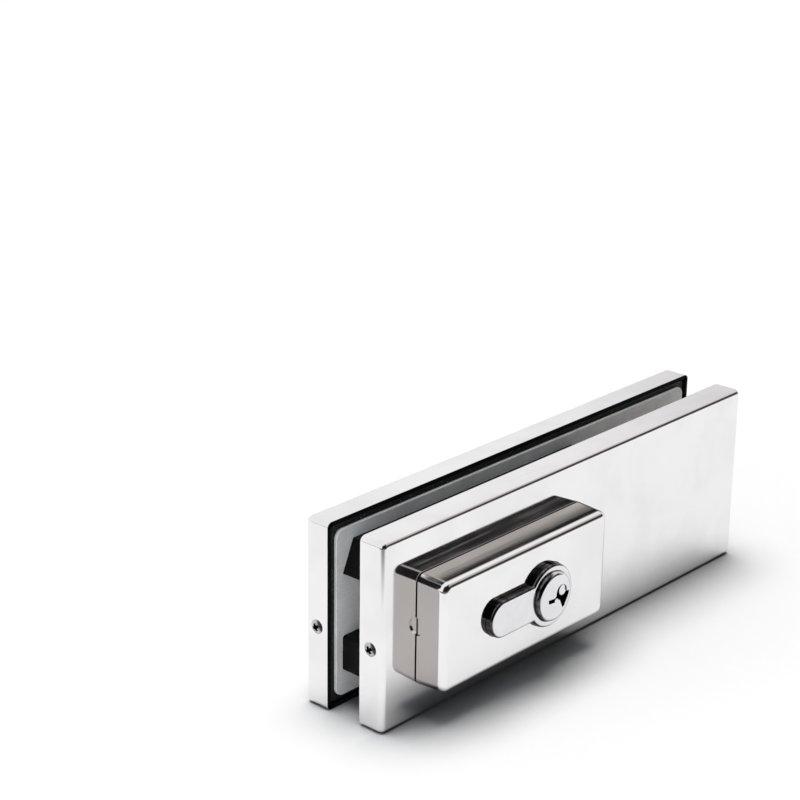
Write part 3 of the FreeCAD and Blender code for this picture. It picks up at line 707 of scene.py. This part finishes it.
NODE_FINISHES = {
    "Polished steel": ("front_cover", "back_cover", "cylinder_housing"),
    "Nickel plating": ("cylinder_body", "key_plug"),
    "Plated screw steel": ("cover_screws", "clamp_screws", "housing_screws", "lid_screws",
                           "forend_screws", "cylinder_fixing_screw"),
    "Rough casting": ("front_body", "back_body"),
    "Black painted casting": ("lock_case", "case_lid"),
    "Pressed fibre board": ("front_gasket", "back_gasket"),
    "Satin bolt steel": ("bolt", "forend"),
    "Spring steel": ("drag_strip", "plug_clip", "pin_springs"),
    "Sintered steel": ("cylinder_cam",),
    "Turned brass": ("key_pins", "driver_pins", "pin_caps"),
}


class LOCK_OT_finishes(bpy.types.Operator):
    """Make the lock's finishes and give them to the nodes of the frame"""

    bl_idname = "lock.finishes"
    bl_label = "Finishes"

    def execute(self, context):
        tones = finishes()
        build_polish_group()
        build_grain_group()
        build_fibre_group()
        metal_material("Polished steel", tones.steel, tones.steel_rough, 0.03, 0.0000006, 0.00006,
                       top_streaks=0.00003, dull_and_shaded_part=shaded_inside_and_seam)
        metal_material("Nickel plating", tones.plating, 0.08, 0.07, 0.0000012, 0.00002, painted_reflection_part=painted_dark_reflection_left,
                       Smudge_Scale=220.0)
        metal_material("Plated screw steel", tones.screw, 0.16, 0.16, 0.000003, 0.00002, 0.2,
                       painted_reflection_part=painted_dark_reflection_front, dull_and_shaded_part=shaded_screw_recess, Smudge_Scale=600.0)
        metal_material("Satin bolt steel", tones.bolt, 0.26, 0.16, 0.000005, 0.00002, 0.15, Line_Scale=700.0)
        metal_material("Spring steel", SPRING_TONE, 0.24, 0.14, 0.000002, 0.00001, 0.2)
        metal_material("Sintered steel", SINTERED_TONE, 0.38, 0.2, 0.00001, 0.00002, 0.3,
                       Line_Scale=2500.0, Smudge_Scale=900.0)
        metal_material("Turned brass", tones.brass, 0.2, 0.12, 0.000002, 0.00001, 0.15, Smudge_Scale=500.0)
        casting_material("Rough casting", tones.casting, 0.55, 0.00015, GREY_SPECKS, 0.3, Grain_Scale=1700.0)
        casting_material("Black painted casting", tones.black, 0.5, 0.00004, BLACK_SPECKS, 0.12)
        fibre_material("Pressed fibre board", tones.fibre)
        for finish, nodes in NODE_FINISHES.items():
            for node in nodes:
                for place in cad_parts[node].material_slots:
                    place.link = "OBJECT"
                    place.material = bpy.data.materials[finish]
        return {"FINISHED"}


def make_tray(name, node, outer, rim):
    """Pressed tray between its face and its rim, with rounded corners and a rounded face edge."""
    size = sizes()
    low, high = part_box(node)
    tray = add_block(name, low, high)
    inward = outer - rim
    edit(tray)
    round_edges(tray, passes_one(lies_at("Y", outer), runs_along("Y", NEAR)),
                size.edge_radius, size.corner_steps)
    depth = inward - math.copysign(size.cover_wall, inward)
    sink_face(tray, lies_at("Y", rim), size.cover_wall, (0, depth, 0))
    round_edges(tray, lies_at("Y", rim), size.rim_edge, 2)
    close_edit()
    return tray


def screw_places():
    """Wall, depth and height of the four cover screws."""
    low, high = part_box("front_cover")
    heads_low, heads_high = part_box("cover_screws")
    radius = sizes().screw_head
    height = heads_low.z + radius
    return [(wall, depth, height) for wall in (low.x, high.x)
            for depth in (heads_low.y + radius, heads_high.y - radius)]


def dome_ball():
    """Radius of the ball that a cover screw's dome is part of."""
    size = sizes()
    return (size.screw_head ** 2 + size.screw_dome ** 2) / (2 * size.screw_dome)


def end_hole_cutter(depth, height):
    """Bar that cuts the screw holes in both end walls of a tray."""
    low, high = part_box("front_cover")
    return add_bar("cutter", SCREW_HOLE, (low.x - MM, depth, height), (high.x + MM, depth, height), 48)


class LOCK_OT_covers(bpy.types.Operator):
    """Press the two polished covers"""

    bl_idname = "lock.covers"
    bl_label = "Covers"

    def execute(self, context):
        for name, node, side in (("front_tray", "front_cover", -1), ("back_tray", "back_cover", 1)):
            low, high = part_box(node)
            outer, rim = (low.y, high.y) if side < 0 else (high.y, low.y)
            tray = make_tray(name, node, outer, rim)
            _, depth, height = screw_places()[0 if side < 0 else 1]
            cut(tray, end_hole_cutter(depth, height))
            if side < 0:
                inset = Vector((sizes().window_inset, 0, sizes().window_inset))
                house_low, house_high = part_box("cylinder_housing")
                window_low = Vector((house_low.x, outer - MM, house_low.z)) + inset
                window_high = Vector((house_high.x, outer + 2 * MM, house_high.z)) - inset
                cut(tray, add_block("cutter", window_low, window_high))
            finish_piece(tray, "Polished steel", LOCK_FRAME, "polished_steel", node)
        return {"FINISHED"}


def key_axis():
    """X and Z of the cylinder's axis."""
    low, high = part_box("cylinder_body")
    return high.x - sizes().barrel_radius, (low.z + high.z) / 2


def tail_block(name, grow, front, back):
    """Tail of the profile cylinder with its round end."""
    size = sizes()
    x, z = key_axis()
    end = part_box("cylinder_body")[0].x - grow
    half = size.tail_width / 2 + grow
    tail = add_block(name, (end, front, z - half), (x, back, z + half))
    edit(tail)
    round_edges(tail, lambda edge: runs_along("Y", NEAR)(edge) and lies_at("X", end)(edge),
                half, 2 * size.corner_steps)
    close_edit()
    return tail


def barrel_bar(name, grow, front, back):
    """Barrel of the profile cylinder."""
    x, z = key_axis()
    return depth_bar(sizes().barrel_radius + grow, x, z, front, back, BARREL_SIDES, name)


class LOCK_OT_housing(bpy.types.Operator):
    """Cast the drafted housing round the cylinder"""

    bl_idname = "lock.housing"
    bl_label = "Housing"

    def execute(self, context):
        size = sizes()
        low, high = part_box("cylinder_housing")
        front, foot = low.y, high.y
        house = add_block("housing_shell", low, high)
        edit(house)
        choose(house, "FACE", lies_at("Y", front))
        width = (high.x - low.x - 2 * size.housing_draft) / (high.x - low.x)
        height = (high.z - low.z - 2 * size.housing_draft) / (high.z - low.z)
        bpy.ops.transform.resize(value=(width, 1, height), center_override=(low + high) / 2)
        round_edges(house, runs_along("Y", 2 * MM), size.housing_corner, size.corner_steps)
        round_edges(house, lies_at("Y", front), size.housing_edge, size.corner_steps)
        round_edges(house, lies_at("Y", foot), size.foot_edge, 3)
        sink_face(house, lies_at("Y", foot), size.housing_wall, (0, front - foot + size.housing_wall, 0))
        close_edit()
        gap = size.profile_gap
        middle = (low.z + high.z) / 2 + NOTCH_RAISE
        cut(house,
            tail_block("cutter", gap, front - MM, front + 3 * MM),
            barrel_bar("cutter", gap, front - MM, front + 3 * MM),
            add_bar("cutter", size.notch_radius, (low.x - MM, foot - NOTCH_BEFORE, middle),
                    (low.x + size.notch_depth, foot + NOTCH_BEHIND, middle), 64))
        finish_piece(house, "Polished steel", LOCK_FRAME, "polished_steel", "cylinder_housing")
        return {"FINISHED"}


def pin_bars(radius, near, far):
    """Bars along the pin stacks, between two distances from the plug's axis."""
    x, z = key_axis()
    low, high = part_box("key_pins")
    pin = sizes().pin_radius
    first = low.y + pin
    pitch = (high.y - low.y - 2 * pin) / (PIN_STACKS - 1)
    return [add_bar("cutter", radius, (x - far, depth, z), (x - near, depth, z), 24)
            for depth in (first + step * pitch for step in range(PIN_STACKS))]


class LOCK_OT_cylinder(bpy.types.Operator):
    """Turn and mill the profile cylinder's body"""

    bl_idname = "lock.cylinder"
    bl_label = "Cylinder body"

    def execute(self, context):
        size = sizes()
        low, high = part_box("cylinder_body")
        x, z = key_axis()
        body = barrel_bar("cylinder_shell", 0, low.y, high.y)
        weld(body, tail_block("tail", 0, low.y, high.y))
        edit(body)
        select_whole()
        bpy.ops.mesh.dissolve_limited(angle_limit=math.radians(0.05))
        round_edges(body, is_sharp_at("Y", low.y), size.cylinder_edge, 6)
        close_edit()
        slot_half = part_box("plug_clip")[0].y - 0.1 * MM
        cut(body,
            depth_bar(size.plug_radius + PLUG_GAP, x, z, low.y - MM, 0, 128),
            add_block("cutter", (x - CAM_SLOT_LEFT, slot_half, z - CAM_SLOT_SPAN),
                      (x + CAM_SLOT_SPAN, -slot_half, z + CAM_SLOT_SPAN)),
            add_bar("cutter", FIXING_HOLE, (x - FIXING_PLACE, 0, z - FIXING_REACH),
                    (x - FIXING_PLACE, 0, z + FIXING_REACH), 40),
            *pin_bars(size.pin_bore, size.plug_radius - MM, x - low.x + MM))
        finish_piece(body, "Nickel plating", LOCK_FRAME, "nickel_brass", "cylinder_body")
        return {"FINISHED"}


def keyway_cutters(front, back):
    """Heel, slit, blade space and milled recess, with the guard pin left standing and a skin left outside."""
    size = sizes()
    x, z = key_axis()
    cutters = [add_prism("cutter", [(x + right * MM, z + up * MM) for right, up in corners], front - MM, back)
               for corners in (HEEL, SLIT, BLADE)]
    cutters.append(depth_bar(RECESS_RADIUS, x + RECESS[0] * MM, z + RECESS[1] * MM, front - MM,
                             front + RECESS_DEPTH, 96))
    for cutter in cutters[2:]:
        inside = depth_bar(size.plug_radius - size.plug_skin, x, z, front - 2 * MM, 0, BARREL_SIDES, "inside")
        combine(cutter, inside, "INTERSECT")
        cut(cutter, depth_bar(GUARD_RADIUS, x + GUARD[0] * MM, z + GUARD[1] * MM,
                              front + GUARD_DROP, 0, 64, "guard"))
    return cutters


class LOCK_OT_plug(bpy.types.Operator):
    """Turn the plug with its rounded face, keyway and milled recess"""

    bl_idname = "lock.plug"
    bl_label = "Plug"

    def execute(self, context):
        size = sizes()
        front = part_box("key_plug")[0].y
        cam_low, cam_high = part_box("cylinder_cam")
        clip_low, clip_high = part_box("plug_clip")
        x, z = key_axis()
        plug = depth_bar(size.plug_radius, x, z, front, cam_low.y, BARREL_SIDES, "plug_shell")
        edit(plug)
        round_edges(plug, lies_at("Y", front), size.plug_edge, size.corner_steps)
        sink_face(plug, lies_at("Y", cam_low.y), size.plug_radius - PLUG_NECK, (0, cam_high.y - cam_low.y, 0))
        close_edit()
        cut(plug, *keyway_cutters(front, clip_low.y - KEYWAY_END))
        ring = depth_bar(size.plug_radius + MM, x, z, clip_low.y, clip_high.y, 96)
        cut(ring, depth_bar(CLIP_GROOVE, x, z, clip_low.y - MM, clip_high.y + MM, 96))
        cut(plug, ring, *pin_bars(size.pin_bore, PIN_BORE_START, size.plug_radius + MM))
        finish_piece(plug, "Nickel plating", PLUG_AND_CAM, "nickel_brass", "key_plug")
        return {"FINISHED"}


def make_cover_screw(name, wall, depth, height, turn):
    """Domed screw with a tapered, turned cross recess, its head on the left end wall."""
    size = sizes()
    ball = dome_ball()
    clear_selection()
    bpy.ops.mesh.primitive_uv_sphere_add(segments=64, ring_count=96, radius=ball,
                                         location=(wall + ball - size.screw_dome, depth, height),
                                         rotation=(0, math.radians(90), 0))
    screw = placed(name)
    edit(screw)
    select_whole()
    bpy.ops.mesh.bisect(plane_co=(wall, depth, height), plane_no=(1, 0, 0), use_fill=True,
                        clear_outer=True, threshold=0.0000001)
    sink_face(screw, lies_at("X", wall), size.screw_head - SCREW_SHANK, (SCREW_REACH, 0, 0))
    close_edit()
    top = wall - size.screw_dome
    floor = top + size.cross_depth
    tip = (top, depth, height)
    for half_y, half_z in ((size.cross_reach, size.cross_width), (size.cross_width, size.cross_reach)):
        arm = add_block("cutter", (top - MM, depth - half_y, height - half_z),
                        (floor, depth + half_y, height + half_z))
        edit(arm)
        choose(arm, "FACE", lies_at("X", floor))
        bpy.ops.transform.resize(value=(1, 0.5, 0.5), center_override=tip)
        select_whole()
        bpy.ops.transform.rotate(value=math.radians(turn), orient_axis="X", center_override=tip)
        close_edit()
        cut(screw, arm)
    return screw


class LOCK_OT_cover_screws(bpy.types.Operator):
    """Make the domed screws of the four end walls"""

    bl_idname = "lock.cover_screws"
    bl_label = "Cover screws"

    def execute(self, context):
        for number, ((wall, depth, height), turn) in enumerate(zip(screw_places(), (34, 27, 12, 41)), 1):
            screw = make_cover_screw(f"cover_screw_{number}", -abs(wall), depth, height, turn)
            if wall > 0:
                edit(screw)
                select_whole()
                bpy.ops.transform.rotate(value=math.pi, orient_axis="Z", center_override=(0, depth, height))
                close_edit()
            finish_piece(screw, "Plated screw steel", LOCK_FRAME, "screw_steel", "cover_screws")
        return {"FINISHED"}


def clamp_places():
    """X and Z of the four clamp screws."""
    low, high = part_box("clamp_screws")
    left, right = low.x + CLAMP_HEAD, high.x - CLAMP_HEAD
    top = high.z - CLAMP_HEAD
    return [(left, LOW_CLAMP_HEIGHT), (left, top), (right, low.z + CLAMP_HEAD), (right, top)]


class LOCK_OT_gaskets(bpy.types.Operator):
    """Stamp the two fibre gaskets"""

    bl_idname = "lock.gaskets"
    bl_label = "Gaskets"

    def execute(self, context):
        size = sizes()
        for name, node in (("front_fibre", "front_gasket"), ("back_fibre", "back_gasket")):
            low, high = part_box(node)
            sheet = add_block(name, low, high)
            edit(sheet)
            round_edges(sheet, runs_along("Y", NEAR), size.gasket_corner, size.corner_steps)
            round_edges(sheet, passes_one(lies_at("Y", low.y), lies_at("Y", high.y)), GASKET_EDGE, 3)
            close_edit()
            front, back = low.y - MM, high.y + MM
            cut(sheet, tail_block("cutter", GASKET_GAP, front, back),
                barrel_bar("cutter", GASKET_GAP, front, back),
                *(depth_bar(CLAMP_HOLE, x, z, front, back, 40) for x, z in clamp_places()))
            finish_piece(sheet, "Pressed fibre board", LOCK_FRAME, "fibre", node)
        return {"FINISHED"}


def outside_painted_shadow(tree, distance, closed, clear, least):
    """One on open floor, falling to a least value where pieces stand within a distance: a painted shadow from
    ambient occlusion.
    """
    seen = output_of(tree, "ShaderNodeAmbientOcclusion", "AO", {"Distance": distance}, samples=6)
    return ranged(tree, seen, closed, clear, least)


def floor_material(tone):
    """Pale floor that shows white to the camera and in the steel, keeps the lock's shadow, and carries a
    painted contact shadow and painted dark reflections.
    """
    tree, shader, place = start_material("Studio floor")
    path = add_node(tree, "ShaderNodeLightPath").outputs
    mottle = noise(tree, place, 300.0, 4.0, 0.6)
    plain = blended(tree, mottle, darker(tone, 0.99), tuple(tone))
    where = axes_of(tree, place)
    # Painted shadow: darker close in front of the cover, in the corner under the lock, and softly round it
    front = ranged(tree, where["Y"], -13 * MM, -10 * MM, 1.0, 0.0)
    shut = minus(tree, 1.0, outside_painted_shadow(tree, 20 * MM, 0.15, 0.95, 0.3))
    near = times(tree, minus(tree, 1.0, times(tree, front, shut)),
                 times(tree, outside_painted_shadow(tree, 12 * MM, 0.08, 0.7, 0.12),
                       outside_painted_shadow(tree, 70 * MM, 0.4, 1.0, 0.8)))
    # Painted reflection: the steel shows a dark far floor toward the camera, and a grey one where it is seen
    # twice; only glossy rays see these tones
    across = maths(tree, "ADD", times(tree, where["X"], -0.742), times(tree, where["Y"], -0.670))
    toward_camera = ranged(tree, across, 0.125, 0.19)
    in_steel = times(tree, path["Is Glossy Ray"], toward_camera)
    twice = times(tree, path["Is Glossy Ray"], maths(tree, "GREATER_THAN", path["Glossy Depth"], 1.5))
    floor_and_painted_reflection = blended(tree, twice, blended(tree, in_steel, plain, PAINTED_FAR_FLOOR_REFLECTION), PAINTED_TWICE_SEEN_FLOOR_REFLECTION)
    # The painted shadow blends the floor toward black
    feed(tree, shader.inputs["Base Color"], blended(tree, near, BLACK, floor_and_painted_reflection))
    feed(tree, shader.inputs["Roughness"], ranged(tree, mottle, 0.3, 0.7, 0.85, 0.95))
    shader.inputs["Specular IOR Level"].default_value = 0.1
    seen = larger(tree, path["Is Camera Ray"],
                 larger(tree, path["Is Glossy Ray"], path["Is Transmission Ray"]))
    lit = times(tree, seen, minus(tree, 1.0, larger(tree, in_steel, twice)))
    glow = output_of(tree, "ShaderNodeEmission", "Emission",
                     {"Color": WHITE, "Strength": times(tree, times(tree, lit, near), 0.03)})
    both = output_of(tree, "ShaderNodeAddShader", "Shader", {0: shader.outputs["BSDF"], 1: glow})
    feed(tree, tree.nodes["Material Output"].inputs["Surface"], both)


def mixed_shader(tree, factor, first, second):
    """Shader between two shaders."""
    return output_of(tree, "ShaderNodeMixShader", "Shader", {"Fac": factor, 1: first, 2: second})


def light_world():
    """White studio for the camera, soft bluish fill, and a dark end of the room in the steel."""
    world = bpy.data.worlds.new("Studio")
    bpy.context.scene.world = world
    world.use_nodes = True
    tree = world.node_tree
    tree.nodes.clear()
    path = add_node(tree, "ShaderNodeLightPath").outputs
    way = axes_of(tree, add_node(tree, "ShaderNodeTexCoord").outputs["Generated"])
    # The dark end lies in front and below the ceiling, and is lifted at the right and low down
    front = ranged(tree, way["Y"], -0.45, -0.2, 1.0, 0.0)
    dark_end = times(tree, front, ranged(tree, way["Z"], 0.80, 0.93, 1.0, 0.0))
    low_grey = times(tree, ranged(tree, way["Z"], 0.12, 0.28, 1.0, 0.0), 0.3)
    lifted = times(tree, ranged(tree, way["X"], 0.2, 0.6),
                   larger(tree, ranged(tree, way["Z"], 0.38, 0.5), low_grey))
    dark_tone = blended(tree, lifted, ROOM_DARK, ROOM_LIFTED)
    back_wall = blended(tree, ranged(tree, way["X"], 0.72, 0.8), ROOM_BACK, ROOM_SIDE)
    room = blended(tree, dark_end, back_wall, dark_tone)
    low_left = times(tree, ranged(tree, way["X"], -0.95, -0.35, 1.0, 0.0),
                     ranged(tree, way["Z"], 0.05, 0.5, 1.0, 0.0))
    from_left = maths(tree, "ADD", times(tree, low_left, 4.4), 0.10)
    in_steel, plain_white, fill = (
        output_of(tree, "ShaderNodeBackground", "Background", {"Color": tone, "Strength": strength})
        for tone, strength in ((room, 1.0), (WHITE, 1.0), (ROOM_FILL, from_left)))
    shiny = larger(tree, path["Is Glossy Ray"], path["Is Transmission Ray"])
    inside = mixed_shader(tree, shiny, fill, in_steel)
    seen = mixed_shader(tree, path["Is Camera Ray"], inside, plain_white)
    output = add_node(tree, "ShaderNodeOutputWorld")
    feed(tree, output.inputs["Surface"], seen)


def add_overhead_light():
    """Soft light from almost straight above, unseen in the steel."""
    lamp = bpy.data.lights.new("Overhead", "SUN")
    lamp.angle = SUN_ANGLE
    lamp.energy = SUN_ENERGY
    lamp.color = SUN_TONE
    holder = bpy.data.objects.new("Overhead", lamp)
    bpy.context.scene.collection.objects.link(holder)
    holder.location = SUN_PLACE
    holder.rotation_euler = (-holder.location).to_track_quat("-Z", "Y").to_euler()
    holder.visible_glossy = False


def add_camera():
    """Camera at the fitted place, turned by yaw, pitch and roll."""
    flat = math.cos(CAMERA_PITCH)
    ahead = Vector((math.sin(CAMERA_YAW) * flat, math.cos(CAMERA_YAW) * flat, -math.sin(CAMERA_PITCH)))
    level = Vector((math.cos(CAMERA_YAW), -math.sin(CAMERA_YAW), 0))
    below = ahead.cross(level)
    right = level * math.cos(CAMERA_ROLL) + below * math.sin(CAMERA_ROLL)
    down = below * math.cos(CAMERA_ROLL) - level * math.sin(CAMERA_ROLL)
    turn = Matrix((right, -down, -ahead)).transposed().to_4x4()
    data = bpy.data.cameras.new("Camera")
    data.lens = CAMERA_LENS
    data.sensor_width = 36.0
    data.clip_start = 0.01
    data.clip_end = 20.0
    camera = bpy.data.objects.new("Camera", data)
    bpy.context.scene.collection.objects.link(camera)
    camera.matrix_world = Matrix.Translation(CAMERA_PLACE) @ turn
    bpy.context.scene.camera = camera


class LOCK_OT_stage(bpy.types.Operator):
    """Set up the pale floor, the soft light and the camera"""

    bl_idname = "lock.stage"
    bl_label = "Stage"

    def execute(self, context):
        context.scene.view_settings.view_transform = "Standard"
        clear_selection()
        bpy.ops.mesh.primitive_plane_add(size=6.0, location=(0, 0, -0.02 * MM))
        floor = placed("floor")
        floor_material(finishes().floor)
        floor.data.materials.append(bpy.data.materials["Studio floor"])
        light_world()
        add_overhead_light()
        add_camera()
        return {"FINISHED"}


class LOCK_PT_panel(bpy.types.Panel):
    """Lists the lock's pieces and its properties"""

    bl_idname = "LOCK_PT_panel"
    bl_label = "Glass Door Bottom Lock"
    bl_space_type = "VIEW_3D"
    bl_region_type = "UI"
    bl_category = "Door Lock"

    def draw(self, context):
        for operator in PIECE_OPERATORS:
            self.layout.operator(operator.bl_idname)
        for settings in (context.scene.lock_sizes, context.scene.lock_finishes):
            column = self.layout.column()
            for name in settings.bl_rna.properties.keys():
                if name not in ("rna_type", "name"):
                    column.prop(settings, name)


PIECE_OPERATORS = (
    LOCK_OT_stage,
    LOCK_OT_finishes,
    LOCK_OT_covers,
    LOCK_OT_housing,
    LOCK_OT_cylinder,
    LOCK_OT_plug,
    LOCK_OT_cover_screws,
    LOCK_OT_gaskets,
)
CLASSES = (LockSizes, LockFinishes, *PIECE_OPERATORS, LOCK_PT_panel)


def register():
    """Register the classes and the scene's properties."""
    for entry in CLASSES:
        bpy.utils.register_class(entry)
    bpy.types.Scene.lock_sizes = PointerProperty(type=LockSizes)
    bpy.types.Scene.lock_finishes = PointerProperty(type=LockFinishes)


def unregister():
    """Remove the scene's properties and the classes."""
    del bpy.types.Scene.lock_finishes
    del bpy.types.Scene.lock_sizes
    for entry in reversed(CLASSES):
        bpy.utils.unregister_class(entry)


def main():
    """Register the lock's classes and build the lock."""
    register()
    for operator in PIECE_OPERATORS:
        group, name = operator.bl_idname.split(".")
        getattr(getattr(bpy.ops, group), name)()


if __name__ == "__main__":
    main()
